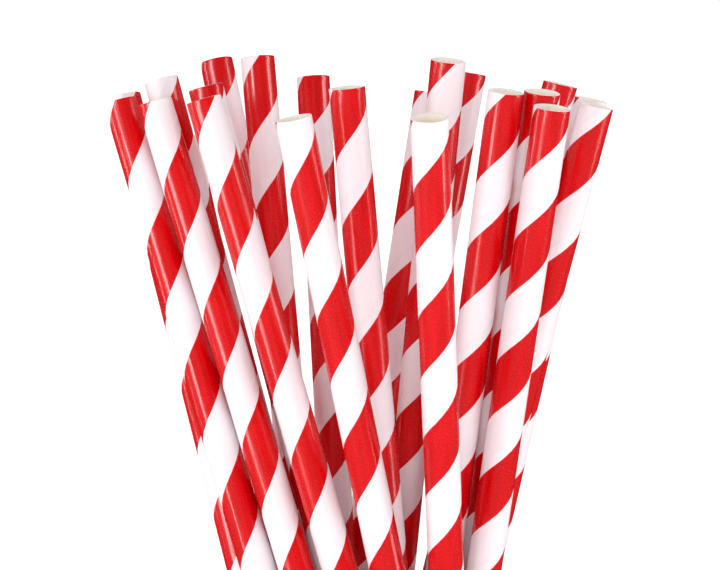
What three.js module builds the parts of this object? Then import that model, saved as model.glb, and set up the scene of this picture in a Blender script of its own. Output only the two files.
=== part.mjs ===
// A bunch of striped paper drinking straws, drawn together by a rubber band.
//
// The straws stand on their feet, cross each other inside the band and fan out above it.
// Millimetres, +Z up. The front is -Y and the right-hand side is +X.
// The origin is on the ground, under the centre of the bunch.

import * as THREE from 'three';

// Straw
const STRAW_LENGTH = 197;
const STRAW_DIAMETER = 6;
const WALL = 0.4;
const STRAW_SIDES = 20;

// Rubber band, and the narrow place of the bunch that it lies round
const BAND_HEIGHT = 66;
const BAND_WIDTH = 5;
const BAND_THICKNESS = 1.2;
const BAND_ARC_STEPS = 32;
const WAIST_CENTRE = new THREE.Vector3(3, 0, BAND_HEIGHT);
const WAIST_RADIUS = 20;

// Air left between two straws, and between the straws and the band
const CLEARANCE = 0.3;

// Where each straw is dropped into the bunch, from the left-hand tips to the right-hand ones:
// [tip x, tip y, foot x, foot y, how high its foot is off the ground]
const PLACES = [
  [-38.5, 6, 19, -43, 8.5],
  [-42, 18, 9.5, -22, 8.5],
  [-34.5, 9, 24, -42, 7.5],
  [-33.5, 18, 17.5, -27, 9.5],
  [-32.5, 32, 17.5, -19, 0],
  [-24.5, -3, 30, -46, 6],
  [-27.5, 0, 21, -12, 6.5],
  [-26.5, 20, 15, -9, 11.5],
  [-18, 14, 3.5, -16, 7.5],
  [-11.5, -21, 24.5, -4, 0],
  [-3, -7, 12.5, 0, 1],
  [-9, 27, 1, -3, 2.5],
  [14, -1, -5, 13, 6],
  [18.5, 35, -7.5, 48, 3.5],
  [13, 24, -14.5, -1, 0],
  [29, -9, 5, 18, 2],
  [23, -15, -1, -4, 2],
  [9.5, -29, 11, 11, 0],
  [34, 4, -13.5, 10, 4.5],
  [39.5, 11, -1.5, 26, 0.5],
  [30, -10, 6, 12, 0],
  [39.5, 4, -7.5, 17, 1.5],
];

// How far each end of a straw gives way, in x and y, when straws press on each other
const TIP_GIVE = new THREE.Vector3(0.02, 0.4, 0);
const FOOT_GIVE = new THREE.Vector3(0.1, 1, 0);
const SETTLE_ROUNDS = 4000;
const SETTLED = 0.01;

const UP = new THREE.Vector3(0, 1, 0);

const paper = new THREE.MeshStandardMaterial({ color: 0xc8141e, roughness: 0.5, metalness: 0 });
const rubber = new THREE.MeshStandardMaterial({ color: 0xc29a63, roughness: 0.6, metalness: 0 });

// A straw is held as the two ends of its axis. Every straw has the same length, so one that leans
// further stands lower.
function dropStraw([tipX, tipY, footX, footY, raised]) {
  const run = Math.hypot(tipX - footX, tipY - footY);
  const rise = Math.sqrt(STRAW_LENGTH ** 2 - run ** 2);
  return {
    foot: new THREE.Vector3(footX, footY, raised),
    tip: new THREE.Vector3(tipX, tipY, raised + rise),
    raised,
  };
}

// The shift between two straws' axes where they pass closest, and how far along each one that is
function passing(a, b) {
  const axis = new THREE.Ray(a.foot, a.tip.clone().sub(a.foot).normalize());
  const onA = new THREE.Vector3();
  const onB = new THREE.Vector3();
  axis.distanceSqToSegment(b.foot, b.tip, onA, onB);
  return {
    shift: onA.clone().sub(onB),
    alongA: onA.distanceTo(a.foot) / STRAW_LENGTH,
    alongB: onB.distanceTo(b.foot) / STRAW_LENGTH,
  };
}

// The point of a straw's axis at a height
function atHeight(straw, height) {
  return straw.foot.clone().lerp(straw.tip, (height - straw.foot.z) / (straw.tip.z - straw.foot.z));
}

// How much a straw moves for a push at a place along it
function softness(along, push) {
  const foot = push.clone().multiply(FOOT_GIVE).dot(push) * (1 - along) ** 2;
  const tip = push.clone().multiply(TIP_GIVE).dot(push) * along ** 2;
  return foot + tip;
}

function giveWay(straw, along, push, amount) {
  straw.foot.addScaledVector(push.clone().multiply(FOOT_GIVE), amount * (1 - along));
  straw.tip.addScaledVector(push.clone().multiply(TIP_GIVE), amount * along);
}

// Moves two straws apart if they press on each other, and gives how far they were short of clear.
function part(a, b) {
  const { shift, alongA, alongB } = passing(a, b);
  const short = STRAW_DIAMETER + CLEARANCE + SETTLED - shift.length();
  if (short > 0) {
    const push = shift.normalize();
    const amount = short / (softness(alongA, push) + softness(alongB, push));
    giveWay(a, alongA, push, amount);
    giveWay(b, alongB, push, -amount);
  }
  return short;
}

// Draws a straw inwards if it passes outside the waist, and gives how far outside it was.
function gather(straw) {
  const push = WAIST_CENTRE.clone().sub(atHeight(straw, BAND_HEIGHT));
  const outside = push.length() - WAIST_RADIUS;
  if (outside > 0) {
    const along = (BAND_HEIGHT - straw.foot.z) / (straw.tip.z - straw.foot.z);
    push.normalize();
    giveWay(straw, along, push, outside / softness(along, push));
  }
  return outside;
}

// Gathers the straws and parts those that press on each other, over and over, until all lie clear.
function settle(straws) {
  for (let round = 0; round < SETTLE_ROUNDS; round += 1) {
    let worst = 0;
    for (const [i, straw] of straws.entries()) {
      worst = Math.max(worst, gather(straw));
      for (const other of straws.slice(i + 1)) worst = Math.max(worst, part(straw, other));
    }
    if (worst < SETTLED) return;
  }
  throw new Error('the straws do not settle');
}

// Slides a straw along its own axis until the lowest point of its foot's rim is as high as it should be.
function stand(straw) {
  const axis = straw.tip.clone().sub(straw.foot).normalize();
  const rimDrop = (STRAW_DIAMETER / 2) * Math.hypot(axis.x, axis.y);
  const foot = straw.foot.clone().addScaledVector(axis, (straw.raised + rimDrop - straw.foot.z) / axis.z);
  return { foot, axis, tip: foot.clone().addScaledVector(axis, STRAW_LENGTH) };
}

// A paper tube, open at both ends, with its foot at the mesh's origin
function strawShape() {
  const outer = STRAW_DIAMETER / 2;
  const inner = outer - WALL;
  const wall = [
    new THREE.Vector2(inner, 0),
    new THREE.Vector2(outer, 0),
    new THREE.Vector2(outer, STRAW_LENGTH),
    new THREE.Vector2(inner, STRAW_LENGTH),
    new THREE.Vector2(inner, 0),
  ];
  return new THREE.LatheGeometry(wall, STRAW_SIDES);
}

function cross(o, a, b) {
  return (a.x - o.x) * (b.y - o.y) - (a.y - o.y) * (b.x - o.x);
}

// One side of the hull of points that are sorted from one end to the other
function hullSide(points) {
  const side = [];
  for (const point of points) {
    while (side.length > 1 && cross(side.at(-2), side.at(-1), point) <= 0) side.pop();
    side.push(point);
  }
  return side.slice(0, -1);
}

// The outline of a loop stretched round the bunch, at a distance from the straws' axes
function loopRound(straws, reach) {
  const points = [];
  for (const straw of straws) {
    for (const height of [BAND_HEIGHT - BAND_WIDTH / 2, BAND_HEIGHT + BAND_WIDTH / 2]) {
      const centre = atHeight(straw, height);
      for (let step = 0; step < BAND_ARC_STEPS; step += 1) {
        const angle = (step / BAND_ARC_STEPS) * 2 * Math.PI;
        const x = centre.x + reach * Math.cos(angle);
        const y = centre.y + reach * Math.sin(angle);
        points.push(new THREE.Vector2(x, y));
      }
    }
  }
  points.sort((a, b) => a.x - b.x || a.y - b.y);
  return [...hullSide(points), ...hullSide(points.reverse())];
}

// A flat band on edge: the space between an inner and an outer loop, extruded upwards
function bandShape(straws) {
  const inner = STRAW_DIAMETER / 2 / Math.cos(Math.PI / BAND_ARC_STEPS) + CLEARANCE;
  const outline = new THREE.Shape(loopRound(straws, inner + BAND_THICKNESS));
  outline.holes.push(new THREE.Path(loopRound(straws, inner)));
  return new THREE.ExtrudeGeometry(outline, { depth: BAND_WIDTH, bevelEnabled: false });
}

function strawMesh(straw, index) {
  const mesh = new THREE.Mesh(strawShape(), paper);
  mesh.name = `straw_${String(index + 1).padStart(2, '0')}`;
  mesh.position.copy(straw.foot);
  mesh.quaternion.setFromUnitVectors(UP, straw.axis);
  return mesh;
}

function bandMesh(straws) {
  const mesh = new THREE.Mesh(bandShape(straws), rubber);
  mesh.name = 'band';
  mesh.position.z = BAND_HEIGHT - BAND_WIDTH / 2;
  return mesh;
}

const dropped = PLACES.map(dropStraw);
settle(dropped);
const standing = dropped.map(stand);

const bunch = new THREE.Group();
bunch.add(bandMesh(standing), ...standing.map(strawMesh));

// Puts the origin under the centre of the bunch's box.
const box = new THREE.Box3().setFromObject(bunch, true);
const centre = box.getCenter(new THREE.Vector3());
for (const piece of bunch.children) piece.position.sub(new THREE.Vector3(centre.x, centre.y, 0));

export default bunch;
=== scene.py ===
# The looks of a bunch of striped paper straws in a rubber band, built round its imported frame.
# Metres throughout. Z is up, the front is -Y and the right-hand side is +X.

import math

import bpy
import numpy as np
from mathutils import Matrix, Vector


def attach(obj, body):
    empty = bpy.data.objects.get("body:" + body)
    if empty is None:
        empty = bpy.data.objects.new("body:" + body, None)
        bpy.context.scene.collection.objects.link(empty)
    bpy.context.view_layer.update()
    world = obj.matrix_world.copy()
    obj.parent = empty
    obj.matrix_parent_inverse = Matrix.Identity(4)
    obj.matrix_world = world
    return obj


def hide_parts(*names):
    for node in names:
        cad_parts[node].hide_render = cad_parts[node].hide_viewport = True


MM = 0.001
SEED = 7

# The picture: the camera looks slightly down at the upper part of the bunch.
VIEW_DISTANCE = 0.350
VIEW_ELEVATION = math.radians(9.0)
VIEW_CENTRE = Vector((0.0006, 0.0018, 0.163))
LENS = 102.3
SENSOR = 36.0

# Light: how bright the white surround is, and where the lamps stand
SURROUND_FRONT = 0.52
SURROUND_BACK = 1.05
SURROUND_IN_GLOSS = 0.02
LAMP_HEIGHT = 0.26
LAMP_DISTANCE = 0.8
FLOOR_REACH = 8.0

# Paper straw: three plies of paper strip, wound as a right-handed helix
STRIPE_PITCH = 22 * MM  # of the middling straw
RED_SHARE = 0.5
RED_FROM = 0.12  # where the red starts across the outer strip, from the strip's own seam
PAPER_SINK = 0.02 * MM  # how far the paper lies under the CAD tube's outside, but for the seam's lips
SEAM = [(-0.20, 0.0), (-0.09, 0.02), (-0.03, -0.01), (0.0, -0.06), (0.03, -0.01), (0.09, 0.02), (0.20, 0.0)]
RING_STEP = 1.05 * MM
STRIP_COLUMNS = 34
BORE_RINGS = 22

# The cut end, from the outside inwards: [inset from the outside, depth below the cut], in mm
EDGE_ROUNDING = [(0.0, 0.20), (0.015, 0.09), (0.05, 0.02)]
CUT_FACE = [
    (0.08, 0.0), (0.125, 0.0), (0.14, 0.035), (0.155, 0.0),
    (0.25, 0.0), (0.265, 0.035), (0.28, 0.0), (0.35, 0.0),
]
CUT_UNEVEN = 0.05 * MM
CUT_REACH = 0.4 * MM  # how far along the outside the cut's unevenness is felt
FRAY = 0.25  # the spread of the single fibres' own unevenness
SKIN_END = 0.45 * MM  # where the evenly spaced rings of the outside start
BORE_LIP = 0.06 * MM  # how far inside the cut the bore starts
END_SQUEEZE = 0.02
END_SQUEEZE_REACH = 7 * MM

# Each straw's stripe, in mm: [how far below the tip the first red starts, on the side that faces the
# camera, and the pitch, which differs a little from straw to straw with how tightly the strip is wound]
STRIPES = [
    [21.5, 22.5], [3.0, 22.5], [10.5, 22.5], [4.5, 21.0], [14.0, 22.0], [13.5, 22.0], [17.0, 22.5],
    [19.0, 22.5], [0.5, 22.5], [7.0, 21.5], [18.5, 21.5], [19.0, 21.0], [13.0, 23.0], [17.0, 22.0],
    [9.5, 22.0], [16.5, 22.0], [0.0, 22.0], [7.0, 21.0], [17.0, 21.5], [8.0, 21.0], [18.0, 21.0],
    [4.0, 22.5],
]

# Rubber band: one loop, laid twice round the bunch
BAND_STRIP_HEIGHT = 2.2 * MM
BAND_STRIP_THICKNESS = 0.95 * MM
BAND_TURN_GAP = 2.45 * MM
BAND_CROSSING = 26 * MM  # the stretch over which the two turns change places
BAND_STEPS = 460
BAND_ROUNDING = 0.28 * MM  # of the strip's four long edges
BAND_SINK = 0.04 * MM  # how far the strip lies under the CAD band's outside
CROSSING_LIFT = 1.08  # how far the upper turn is lifted over the lower one, in strip thicknesses
CROSSING_LIFT_REACH = 0.3  # the share of the crossing over which it is lifted


def unit(v):
    return v / np.linalg.norm(v)


# ---------------------------------------------------------------------------------------------- nodes


class Nodes:
    """Makes and links the nodes of one tree"""

    def __init__(self, tree):
        self.tree = tree

    def add(self, kind, settings=None, **inputs):
        node = self.tree.nodes.new(kind)
        for key, value in (settings or {}).items():
            setattr(node, key, value)
        for key, value in inputs.items():
            self.feed(node, key.replace("_", " "), value)
        return node

    def feed(self, node, socket, value):
        socket = node.inputs[int(socket)] if socket.isdigit() else node.inputs[socket]
        if isinstance(value, bpy.types.NodeSocket):
            self.tree.links.new(value, socket)
        else:
            socket.default_value = value

    def math(self, operation, a, b=0.0):
        node = self.tree.nodes.new("ShaderNodeMath")
        node.operation = operation
        for index, value in enumerate((a, b)):
            self.feed(node, str(index), value)
        return node.outputs[0]

    def noise(self, vector, scale, detail=4.0, roughness=0.55):
        node = self.add("ShaderNodeTexNoise", Vector=vector, Scale=scale, Detail=detail, Roughness=roughness)
        return node.outputs["Fac"]

    def stretch(self, vector, x, y, z=1.0):
        return self.add("ShaderNodeMapping", Vector=vector, Scale=(x, y, z)).outputs["Vector"]

    def between(self, value, low, high, to_low=0.0, to_high=1.0, smooth=False):
        settings = {"interpolation_type": "SMOOTHSTEP" if smooth else "LINEAR"}
        node = self.add("ShaderNodeMapRange", settings, Value=value)
        node.inputs["From Min"].default_value = low
        node.inputs["From Max"].default_value = high
        node.inputs["To Min"].default_value = to_low
        node.inputs["To Max"].default_value = to_high
        return node.outputs["Result"]

    def mix(self, factor, a, b):
        node = self.tree.nodes.new("ShaderNodeMix")
        node.data_type = "RGBA"
        self.feed(node, "0", factor)
        self.feed(node, "6", a)
        self.feed(node, "7", b)
        return node.outputs[2]

    def bump(self, height, distance, strength=1.0, normal=None):
        node = self.add("ShaderNodeBump", Height=height, Distance=distance, Strength=strength)
        if normal is not None:
            self.feed(node, "Normal", normal)
        return node.outputs["Normal"]


class MaterialNodes(Nodes):
    """The nodes of a new material, with its shader"""

    def __init__(self, name):
        self.material = bpy.data.materials.new(name)
        self.material.use_nodes = True
        super().__init__(self.material.node_tree)
        self.shader = self.tree.nodes["Principled BSDF"]

    def shade(self, **inputs):
        """Feeds the shader, and gives the material."""
        for key, value in inputs.items():
            self.feed(self.shader, key.replace("_", " "), value)
        return self.material


# ------------------------------------------------------------------------------------------ materials

WHITE_PAPER = (0.955, 0.88, 0.915, 1.0)
WHITE_PAPER_LOW = (0.93, 0.845, 0.875, 1.0)
RED_INK = (0.76, 0.0006, 0.004, 1.0)
RED_INK_THIN = (0.80, 0.005, 0.014, 1.0)
RED_INK_DEEP = (0.62, 0.0003, 0.0015, 1.0)
BORE_PAPER = (0.98, 0.90, 0.85, 1.0)
# The bore's darker colour: the tone of its fibres and seam, and the painted shade down the bore
BORE_TONE_AND_SHADE = (0.93, 0.82, 0.72, 1.0)
CUT_PAPER = (0.97, 0.95, 0.94, 1.0)
CUT_PAPER_LOW = (0.88, 0.85, 0.83, 1.0)
RUBBER = (0.56, 0.33, 0.13, 1.0)
RUBBER_DARK = (0.42, 0.23, 0.085, 1.0)
RUBBER_DUST = (0.70, 0.55, 0.38, 1.0)


def strip_place(nodes):
    """The place on the paper strip in mm, and how far across the strip it is, from 0 to 1."""
    place = nodes.add("ShaderNodeUVMap", {"uv_map": "strip"}).outputs["UV"]
    across_mm = nodes.add("ShaderNodeSeparateXYZ", Vector=place).outputs["X"]
    return place, nodes.math("DIVIDE", across_mm, strip_width() / MM)


def strip_width():
    """The paper strip's width square to its own edges."""
    round_way = 2 * math.pi * straw_radius
    return round_way * STRIPE_PITCH / math.hypot(round_way, STRIPE_PITCH)


def streaks(nodes, across, along):
    """Noise that is drawn out along the straw"""
    inside = nodes.add("ShaderNodeAttribute", {"attribute_name": "inside"}).outputs["Vector"]
    return nodes.noise(nodes.stretch(inside, across, across, along), 1.0, detail=3.0, roughness=0.5)


def paper_relief(nodes, place, stripe=None):
    """Fibres along the strip, a soft unevenness along the straw, and the ink's own thickness."""
    fibres = nodes.noise(nodes.stretch(place, 5.0, 1.6), 1.0, detail=5.0, roughness=0.7)
    normal = nodes.bump(streaks(nodes, 0.55, 0.035), 0.16 * MM, 0.8)
    normal = nodes.bump(fibres, 0.012 * MM, 0.9, normal)
    if stripe is not None:
        normal = nodes.bump(stripe, 0.012 * MM, 0.6, normal)
    return normal


def printed_paper():
    """White coated paper with one red stripe printed along the strip"""
    nodes = MaterialNodes("printed_paper")
    place, across = strip_place(nodes)
    wander = nodes.noise(nodes.stretch(place, 0.2, 0.45), 1.0, detail=6.0, roughness=0.65)
    wander = nodes.between(wander, 0.0, 1.0, -0.006, 0.006)
    off_middle = nodes.math("ABSOLUTE", nodes.math("SUBTRACT", across, RED_FROM + RED_SHARE / 2))
    edge = nodes.math("ADD", off_middle, wander)
    stripe = nodes.between(edge, RED_SHARE / 2 - 0.003, RED_SHARE / 2 + 0.003, 1.0, 0.0, smooth=True)

    mottle = streaks(nodes, 1.0, 0.12)
    specks = nodes.noise(nodes.stretch(place, 6.0, 3.0), 1.0, detail=3.0, roughness=0.6)
    ink = nodes.mix(nodes.between(mottle, 0.30, 0.72), RED_INK_DEEP, RED_INK)
    ink = nodes.mix(nodes.between(specks, 0.58, 0.76, 0.0, 0.55), ink, RED_INK_THIN)
    paper = nodes.mix(nodes.between(mottle, 0.35, 0.70), WHITE_PAPER_LOW, WHITE_PAPER)
    seam = nodes.math("MINIMUM", across, nodes.math("SUBTRACT", 1.0, across))
    paper = nodes.mix(nodes.between(seam, 0.001, 0.006, 0.25, 0.0), paper, CUT_PAPER_LOW)
    colour = nodes.mix(stripe, paper, ink)

    rough = nodes.between(specks, 0.3, 0.7, -0.04, 0.05)
    rough = nodes.math("ADD", nodes.between(stripe, 0.0, 1.0, 0.50, 0.25), rough)
    normal = paper_relief(nodes, place, stripe)
    return nodes.shade(Base_Color=colour, Roughness=rough, Normal=normal, Specular_IOR_Level=0.42)


def bore_paper():
    """The plain inner ply, with painted shade that darkens it down the bore; the ply shows its own seam"""
    nodes = MaterialNodes("bore_paper")
    place, across = strip_place(nodes)
    depth = nodes.add("ShaderNodeAttribute", {"attribute_name": "depth"}).outputs["Fac"]
    turn = nodes.math("FRACT", nodes.math("ADD", across, 0.37))
    seam = nodes.math("MINIMUM", turn, nodes.math("SUBTRACT", 1.0, turn))
    groove = nodes.between(seam, 0.0, 0.012, 0.0, 1.0, smooth=True)
    fibres = nodes.noise(nodes.stretch(place, 2.0, 0.8), 1.0, detail=6.0, roughness=0.7)
    # Painted shade: the colour darkens from the cut down into the bore.
    paper = nodes.mix(nodes.between(depth, 0.2, 1.3, 0.0, 1.0, smooth=True), BORE_PAPER, BORE_TONE_AND_SHADE)
    paper = nodes.mix(nodes.between(fibres, 0.35, 0.75, 0.0, 0.3), paper, BORE_TONE_AND_SHADE)
    paper = nodes.mix(nodes.between(groove, 0.0, 1.0, 0.5, 0.0), paper, BORE_TONE_AND_SHADE)
    rough = nodes.between(fibres, 0.3, 0.7, 0.65, 0.8)
    normal = nodes.bump(groove, 0.05 * MM, 0.9, paper_relief(nodes, place))
    nodes.shade(Subsurface_Weight=0.7, Subsurface_Radius=(1.0, 0.75, 0.5), Subsurface_Scale=0.6 * MM)
    return nodes.shade(Base_Color=paper, Roughness=rough, Normal=normal)


def cut_paper():
    """The bare fibres of the cut end"""
    nodes = MaterialNodes("cut_paper")
    place = nodes.add("ShaderNodeTexCoord").outputs["Object"]
    fibres = nodes.noise(place, 9000.0, detail=4.0, roughness=0.7)
    tufts = nodes.noise(place, 2200.0, detail=3.0)
    colour = nodes.mix(nodes.between(tufts, 0.35, 0.7, 0.35, 0.0), CUT_PAPER, CUT_PAPER_LOW)
    rough = nodes.between(fibres, 0.3, 0.7, 0.8, 0.95)
    normal = nodes.bump(tufts, 0.03 * MM, 0.8, nodes.bump(fibres, 0.015 * MM, 0.8))
    return nodes.shade(Base_Color=colour, Roughness=rough, Normal=normal)


def plain_rubber():
    """Cut sheet rubber: fine saw lines along the strip, and a little dust"""
    nodes = MaterialNodes("plain_rubber")
    place = nodes.add("ShaderNodeUVMap", {"uv_map": "strip"}).outputs["UV"]
    lines = nodes.noise(nodes.stretch(place, 9.0, 0.12), 1.0, detail=4.0, roughness=0.6)
    patches = nodes.noise(nodes.stretch(place, 0.6, 0.25), 1.0, detail=5.0, roughness=0.6)
    dust = nodes.noise(nodes.stretch(place, 4.0, 3.0), 1.0, detail=5.0, roughness=0.75)
    colour = nodes.mix(nodes.between(patches, 0.3, 0.7), RUBBER_DARK, RUBBER)
    colour = nodes.mix(nodes.between(dust, 0.52, 0.78, 0.0, 0.45), colour, RUBBER_DUST)
    rough = nodes.between(dust, 0.35, 0.75, 0.48, 0.75)
    normal = nodes.bump(lines, 0.05 * MM, 0.8, nodes.bump(dust, 0.02 * MM, 0.6))
    nodes.shade(Subsurface_Weight=0.15, Subsurface_Radius=(1.0, 0.5, 0.2), Subsurface_Scale=1.5 * MM)
    return nodes.shade(Base_Color=colour, Roughness=rough, Normal=normal)


# --------------------------------------------------------------------------------------------- meshes


def make_piece(name, points, faces, face_slots, materials, uvs=None):
    """A smooth-shaded mesh object; uvs holds one place on the strip, in mm, for each face corner."""
    mesh = bpy.data.meshes.new(name)
    mesh.from_pydata([tuple(p) for p in points], [], faces)
    for material in materials:
        mesh.materials.append(material)
    mesh.polygons.foreach_set("material_index", face_slots)
    mesh.polygons.foreach_set("use_smooth", [True] * len(faces))
    if uvs is not None:
        layer = mesh.uv_layers.new(name="strip")
        layer.data.foreach_set("uv", np.asarray(uvs, np.float32).ravel())
    mesh.update()
    piece = bpy.data.objects.new(name, mesh)
    bpy.context.scene.collection.objects.link(piece)
    return piece


class Straw:
    """A straw's axis and radii, measured from its CAD node"""

    def __init__(self, node):
        corners = np.array([v.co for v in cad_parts[node].data.vertices], float)
        corners = np.unique(corners.round(6), axis=0)
        middle = corners.mean(0)
        axis = unit(np.linalg.svd(corners - middle)[2][0])
        axis = axis if axis[2] > 0 else -axis
        along = (corners - middle) @ axis
        self.tip = corners[along > 0].mean(0)
        self.foot = corners[along < 0].mean(0)
        self.axis = unit(self.tip - self.foot)
        self.length = np.linalg.norm(self.tip - self.foot)
        spread = corners - middle - np.outer(along, axis)
        reach = np.linalg.norm(spread, axis=1)
        self.radius = reach.max()
        self.bore = reach.min()
        to_camera = np.array(camera_place()) - self.tip
        self.front = unit(to_camera - self.axis * (to_camera @ self.axis))
        self.side = np.cross(self.axis, self.front)

    def place(self, turn, down, radius):
        """Points at a turn round the axis, a distance down from the tip and a distance from the axis"""
        out = np.multiply.outer(np.cos(turn), self.front) + np.multiply.outer(np.sin(turn), self.side)
        return self.tip - np.asarray(down)[..., None] * self.axis + np.asarray(radius)[..., None] * out


def camera_place():
    back = Vector((0, -math.cos(VIEW_ELEVATION), math.sin(VIEW_ELEVATION)))
    return VIEW_CENTRE + back * VIEW_DISTANCE


def strip_columns(radius):
    """Places across the strip, from 0 to 1, closer together at the seam and at the stripe's two edges"""
    round_way = 2 * math.pi * radius
    seam = [(offset * MM / round_way) % 1.0 for offset, _ in SEAM]
    lifts = dict(zip(seam, (lift * MM for _, lift in SEAM)))
    edges = [RED_FROM, RED_FROM + RED_SHARE]
    even = [k / STRIP_COLUMNS for k in range(1, STRIP_COLUMNS)]
    clear = [k for k in even if min(abs(k - e) for e in edges + [0, 1]) > 0.4 / STRIP_COLUMNS]
    across = np.array(sorted(seam + edges + clear))
    lift = np.array([lifts.get(a, 0.0) for a in across])
    return across, lift


def ring_places(length):
    """Distances down from the tip of the outer skin's rings"""
    ends = [depth * MM for _, depth in reversed(EDGE_ROUNDING)]
    count = round((length - 2 * SKIN_END) / RING_STEP)
    middle = np.linspace(SKIN_END, length - SKIN_END, count + 1)
    return np.concatenate([ends, middle, [length - end for end in reversed(ends)]])


class Ends:
    """How a straw's two ends, 0 the tip and 1 the foot, differ from a clean round cut"""

    def __init__(self, length, columns, random):
        self.length = length
        self.squeeze_turn = random.uniform(0, math.pi, 2)
        self.squeeze = END_SQUEEZE * random.uniform(0.3, 1.0, 2)
        self.wave = random.uniform(0, 2 * math.pi, (2, 3))
        self.fray = random.normal(0, FRAY, (2, columns))

    def squeezed(self, radius, turn, down):
        """The radius, where the straw is pressed slightly oval near its ends"""
        for end, distance in enumerate((down, self.length - down)):
            amount = self.squeeze[end] * np.exp(-distance / END_SQUEEZE_REACH)
            radius = radius * (1 - amount * (1 - np.cos(2 * (turn - self.squeeze_turn[end]))) / 2)
        return radius

    def uneven(self, end, turn):
        """How much further in the cut lies than a level one would, round the straw"""
        waves = sum(np.sin((k + 2) * turn + self.wave[end][k]) / (k + 2) for k in range(3))
        return CUT_UNEVEN * (waves / 2 + self.fray[end] * 0.5)


class Tube:
    """A spiral-wound paper tube as rings of points: outer skin, foot's cut, bore, tip's cut

    A ring holds each column's turn, its distance down from the tip and its place across the strip.
    """

    def __init__(self, straw, red_start, pitch, random):
        self.straw = straw
        self.pitch = pitch
        self.red_start = red_start
        self.across, self.lift = strip_columns(straw.radius)
        self.columns = len(self.across)
        self.ends = Ends(straw.length, self.columns, random)
        self.points, self.rings = [], []
        self.add_skin()
        self.skin_rings = len(self.rings)
        self.add_cut(1, CUT_FACE)
        self.cut_rings = len(self.rings)
        self.add_bore()
        self.bore_rings = len(self.rings)
        self.add_cut(0, CUT_FACE[::-1])

    def turn_at(self, down):
        return 2 * math.pi * (self.across - RED_FROM - (down - self.red_start) / self.pitch)

    def add_ring(self, turn, down, radius, across):
        self.points.append(self.straw.place(turn, down, self.ends.squeezed(radius, turn, down)))
        self.rings.append((turn, down, across))

    def add_skin(self):
        insets = {round(depth, 6): inset * MM for inset, depth in EDGE_ROUNDING}
        for down in ring_places(self.straw.length):
            to_cut = min(down, self.straw.length - down)
            inset = insets.get(round(to_cut / MM, 6), 0.0)
            end = 0 if down < self.straw.length / 2 else 1
            turn = self.turn_at(down)
            shift = self.ends.uneven(end, turn) * max(0.0, 1 - to_cut / CUT_REACH) * (1 - 2 * end)
            radius = self.straw.radius - PAPER_SINK + self.lift - inset
            self.add_ring(turn, down + shift, radius, self.across)

    def add_cut(self, end, profile):
        turn = self.turn_at(self.straw.length * end)
        for inset, depth in profile:
            radius = np.full(self.columns, self.straw.radius - PAPER_SINK - inset * MM)
            inwards = depth * MM + self.ends.uneven(end, turn)
            down = inwards if end == 0 else self.straw.length - inwards
            self.add_ring(turn, down, radius, self.across)

    def add_bore(self):
        # The bore twists just so far that its columns meet those of both cuts.
        tip_turn = self.turn_at(0.0)
        twist = (-self.straw.length / self.pitch) % 1.0
        whole_turns = self.straw.length / self.pitch + twist
        for share in np.linspace(1, 0, BORE_RINGS + 1):
            turn = tip_turn + 2 * math.pi * twist * share
            down = self.straw.length * share + BORE_LIP * (1 - 2 * share)
            down = np.full(self.columns, down)
            radius = np.full(self.columns, self.straw.bore)
            self.add_ring(turn, down, radius, self.across + whole_turns * share)

    def slot(self, ring):
        """The material between a ring and the next: 0 printed paper, 1 bore paper, 2 cut paper"""
        if ring < self.skin_rings - 1:
            return 0
        return 1 if self.cut_rings <= ring < self.bore_rings - 1 else 2

    def strip_place(self, ring, column, wrap):
        """A corner's place on the paper strip, in mm; wrap is 1 past the strip's far edge, or else 0."""
        turn, down, across = self.rings[ring]
        round_way = 2 * math.pi * self.straw.radius
        arc = self.straw.radius * (turn[column] + 2 * math.pi * wrap)
        along = (self.pitch * down[column] - round_way * arc) / math.hypot(round_way, self.pitch)
        return (across[column] + wrap) * strip_width() / MM, along / MM

    def faces(self):
        """The faces, each one's material slot, and each corner's place on the strip"""
        faces, slots, uvs = [], [], []
        for i in range(len(self.rings)):
            j = (i + 1) % len(self.rings)
            for c in range(self.columns):
                d = (c + 1) % self.columns
                wrap = int(d == 0)
                corners = [(i, c, 0), (i, d, wrap), (j, d, wrap), (j, c, 0)]
                faces.append([ring * self.columns + column for ring, column, _ in corners])
                slots.append(self.slot(i))
                uvs += [self.strip_place(*corner) for corner in corners]
        return faces, slots, uvs


def straw_piece(name, straw, red_start, pitch, materials, random):
    """A straw's paper, with each point's depth below the nearer cut and place in the straw, in mm"""
    tube = Tube(straw, red_start, pitch, random)
    points = np.concatenate(tube.points)
    faces, slots, uvs = tube.faces()
    piece = make_piece(name, points, faces, slots, materials, uvs)
    from_tip = points - straw.tip
    down = -(from_tip @ straw.axis)
    depth = piece.data.attributes.new("depth", "FLOAT", "POINT")
    depth.data.foreach_set("value", (np.minimum(down, straw.length - down) / MM).astype(np.float32))
    place = np.stack([from_tip @ straw.front, from_tip @ straw.side, down], axis=1) / MM
    place += random.uniform(0, 500, 3)
    inside = piece.data.attributes.new("inside", "FLOAT_VECTOR", "POINT")
    inside.data.foreach_set("vector", place.astype(np.float32).ravel())
    return piece


def loop_path(node):
    """The CAD band's outer outline, the distance travelled to each of its points, and its height"""
    corners = np.array([v.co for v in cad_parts[node].data.vertices], float)
    low, high = corners[:, 2].min(), corners[:, 2].max()
    flat = np.unique(corners[:, :2].round(6), axis=0)
    hull = convex_outline(flat)
    closed = np.vstack([hull, hull[:1]])
    steps = np.linalg.norm(np.diff(closed, axis=0), axis=1)
    travelled = np.concatenate([[0], np.cumsum(steps)])
    return closed, travelled, low, high


def convex_outline(points):
    """The points' hull, anticlockwise"""
    points = points[np.lexsort((points[:, 1], points[:, 0]))]

    def half(sequence):
        side = []
        for p in sequence:
            while len(side) > 1 and np.cross(side[-1] - side[-2], p - side[-1]) <= 0:
                side.pop()
            side.append(p)
        return side[:-1]

    return np.array(half(points) + half(points[::-1]))


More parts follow.
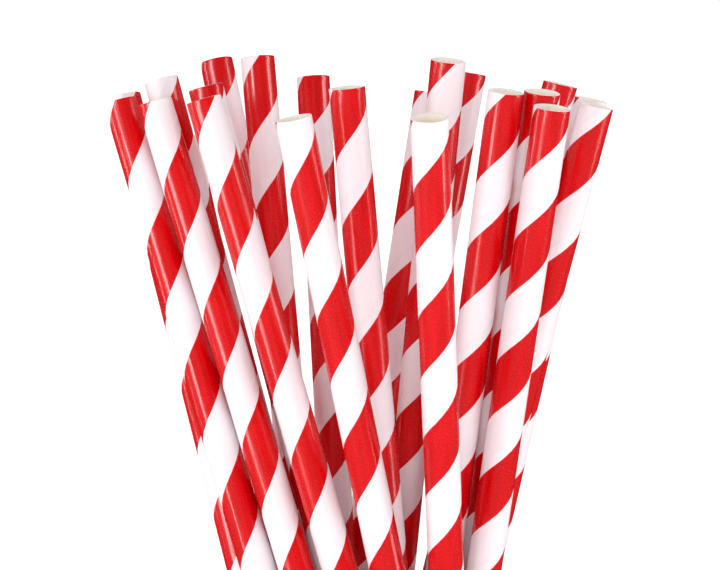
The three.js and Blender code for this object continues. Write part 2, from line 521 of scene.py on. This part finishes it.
def band_piece(name, node, materials):
    """A flat rubber strip laid twice round the bunch, whose two turns change places in one crossing"""
    closed, travelled, low, high = loop_path(node)
    perimeter = travelled[-1]
    share = np.arange(BAND_STEPS) / BAND_STEPS
    distance = share * 2 * perimeter
    on_loop = distance % perimeter
    flat = np.stack([np.interp(on_loop, travelled, closed[:, k]) for k in range(2)], axis=1)
    ahead = np.roll(flat, -2, axis=0) - np.roll(flat, 2, axis=0)
    ahead /= np.linalg.norm(ahead, axis=1)[:, None]
    outward = np.stack([ahead[:, 1], -ahead[:, 0]], axis=1)

    # The turns change places round the loop's start: one rises while the other falls.
    from_start = (on_loop + perimeter / 2) % perimeter - perimeter / 2
    swap = np.clip(from_start / BAND_CROSSING + 0.5, 0, 1)
    swap = swap * swap * (3 - 2 * swap)
    falling = (distance >= perimeter / 2) & (distance < 1.5 * perimeter)
    upper = np.where(falling, 1 - swap, swap)
    height = (low + high) / 2 + (upper - 0.5) * BAND_TURN_GAP
    over = np.where(falling, 1.0, 0.0) * np.exp(-((from_start / (CROSSING_LIFT_REACH * BAND_CROSSING)) ** 2))
    over = over * BAND_STRIP_THICKNESS * CROSSING_LIFT

    section = rounded_section(BAND_STRIP_THICKNESS, BAND_STRIP_HEIGHT, BAND_ROUNDING)
    inset = BAND_SINK + BAND_STRIP_THICKNESS / 2
    points, count = [], len(section)
    for k in range(BAND_STEPS):
        middle = flat[k] + outward[k] * (over[k] - inset)
        for out, up in section:
            x, y = middle + outward[k] * out
            points.append((x, y, height[k] + up))
    round_section = np.cumsum([0] + [math.dist(section[n], section[(n + 1) % count]) for n in range(count)])
    faces, uvs = [], []
    for k in range(BAND_STEPS):
        following = (k + 1) % BAND_STEPS
        for n in range(count):
            m = (n + 1) % count
            faces.append([k * count + n, following * count + n, following * count + m, k * count + m])
            here, there = distance[k] / MM, (distance[k] + 2 * perimeter / BAND_STEPS) / MM
            a, b = round_section[n] / MM, round_section[n + 1] / MM
            uvs += [(a, here), (a, there), (b, there), (b, here)]
    return make_piece(name, points, faces, [0] * len(faces), materials, uvs)


def rounded_section(width, height, radius):
    """A rounded rectangle's points, anticlockwise, about its middle"""
    points = []
    for corner in range(4):
        x = (width / 2 - radius) * (1 if corner in (0, 3) else -1)
        y = (height / 2 - radius) * (1 if corner in (0, 1) else -1)
        for step in range(5):
            angle = math.pi / 2 * (corner + step / 4)
            points.append((x + radius * math.cos(angle), y + radius * math.sin(angle)))
    return points


# ---------------------------------------------------------------------------------------------- stage


def add_camera():
    data = bpy.data.cameras.new("camera")
    data.lens = LENS
    data.sensor_width = SENSOR
    data.clip_start = 0.01
    camera = bpy.data.objects.new("camera", data)
    camera.location = camera_place()
    camera.rotation_euler = (VIEW_CENTRE - camera.location).to_track_quat("-Z", "Y").to_euler()
    bpy.context.scene.collection.objects.link(camera)
    bpy.context.scene.camera = camera


def add_floor():
    """A white floor that also lights itself a little, so that it stays as white as the surround"""
    corners = [(-FLOOR_REACH, -FLOOR_REACH, 0), (FLOOR_REACH, -FLOOR_REACH, 0)]
    corners += [(FLOOR_REACH, FLOOR_REACH, 0), (-FLOOR_REACH, FLOOR_REACH, 0)]
    mesh = bpy.data.meshes.new("floor")
    mesh.from_pydata(corners, [], [(0, 1, 2, 3)])
    nodes = MaterialNodes("floor_white")
    nodes.shade(Base_Color=(0.93, 0.93, 0.93, 1), Roughness=0.9, Specular_IOR_Level=0.0)
    nodes.shade(Emission_Color=(1, 1, 1, 1), Emission_Strength=0.5)
    mesh.materials.append(nodes.material)
    floor = bpy.data.objects.new("floor", mesh)
    floor.visible_glossy = False
    bpy.context.scene.collection.objects.link(floor)


def add_softbox(name, azimuth, size, power, height=LAMP_HEIGHT, diffuse=True, gloss=True):
    """A rectangular lamp at an azimuth from the front, to the right if positive, turned to the bunch"""
    data = bpy.data.lights.new(name, "AREA")
    data.shape = "RECTANGLE"
    data.size, data.size_y = size
    data.energy = power
    lamp = bpy.data.objects.new(name, data)
    lamp.visible_diffuse = diffuse
    lamp.visible_glossy = gloss
    angle = math.radians(azimuth)
    lamp.location = (LAMP_DISTANCE * math.sin(angle), -LAMP_DISTANCE * math.cos(angle), height)
    aim = Vector((0, 0, VIEW_CENTRE.z)) - lamp.location
    lamp.rotation_euler = aim.to_track_quat("-Z", "Y").to_euler()
    bpy.context.scene.collection.objects.link(lamp)


def add_world():
    """A white surround whose light is dimmer from the front, and dimmer still in reflections"""
    world = bpy.data.worlds.new("surround")
    bpy.context.scene.world = world
    world.use_nodes = True
    nodes = Nodes(world.node_tree)
    direction = nodes.add("ShaderNodeTexCoord").outputs["Generated"]
    backwards = nodes.add("ShaderNodeSeparateXYZ", Vector=direction).outputs["Y"]
    light = nodes.between(backwards, -0.5, 0.3, SURROUND_FRONT, SURROUND_BACK, smooth=True)
    ray = nodes.add("ShaderNodeLightPath").outputs
    in_gloss = nodes.between(ray["Is Glossy Ray"], 0.0, 1.0, 1.0, SURROUND_IN_GLOSS)
    strength = nodes.math("MULTIPLY", light, in_gloss)
    # Where it is seen directly, it is plain white all round.
    strength = nodes.math("MAXIMUM", strength, ray["Is Camera Ray"])
    background = nodes.tree.nodes["Background"]
    nodes.feed(background, "Strength", strength)
    nodes.feed(background, "Color", (1, 1, 1, 1))


def add_studio():
    add_camera()
    add_floor()
    add_world()
    add_softbox("left_softbox", -50, size=(0.3, 0.6), power=0.5, gloss=False)
    add_softbox("front_softbox", 0, size=(0.3, 0.3), power=1.75, height=0.30, gloss=False)
    # The strips show only as the long narrow highlights on the paper.
    add_softbox("left_strip", -48, size=(0.12, 0.7), power=7.5, diffuse=False)
    add_softbox("left_edge_strip", -95, size=(0.05, 0.7), power=2.4, diffuse=False)
    add_softbox("right_strip", 80, size=(0.16, 0.7), power=5.0, diffuse=False)
    bpy.context.scene.view_settings.view_transform = "Standard"


# --------------------------------------------------------------------------------------------- pieces

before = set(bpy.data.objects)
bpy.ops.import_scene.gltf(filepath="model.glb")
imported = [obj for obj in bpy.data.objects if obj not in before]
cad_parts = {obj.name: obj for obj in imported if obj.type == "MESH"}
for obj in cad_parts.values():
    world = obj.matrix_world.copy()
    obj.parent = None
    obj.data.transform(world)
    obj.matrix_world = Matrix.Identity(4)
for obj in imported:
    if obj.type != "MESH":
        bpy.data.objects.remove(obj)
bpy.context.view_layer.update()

straw_names = sorted(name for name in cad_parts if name.startswith("straw_"))
straws = {name: Straw(name) for name in straw_names}
straw_radius = straws[straw_names[0]].radius

add_studio()

paper_materials = [printed_paper(), bore_paper(), cut_paper()]
for number, name in enumerate(straw_names):
    random = np.random.default_rng([SEED, number])
    red_start, pitch = (value * MM for value in STRIPES[number])
    piece = straw_piece(f"{name}_paper", straws[name], red_start, pitch, paper_materials, random)
    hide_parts(name)
    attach(piece, name)

band = band_piece("rubber_band", "band", [plain_rubber()])
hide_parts("band")
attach(band, "band")
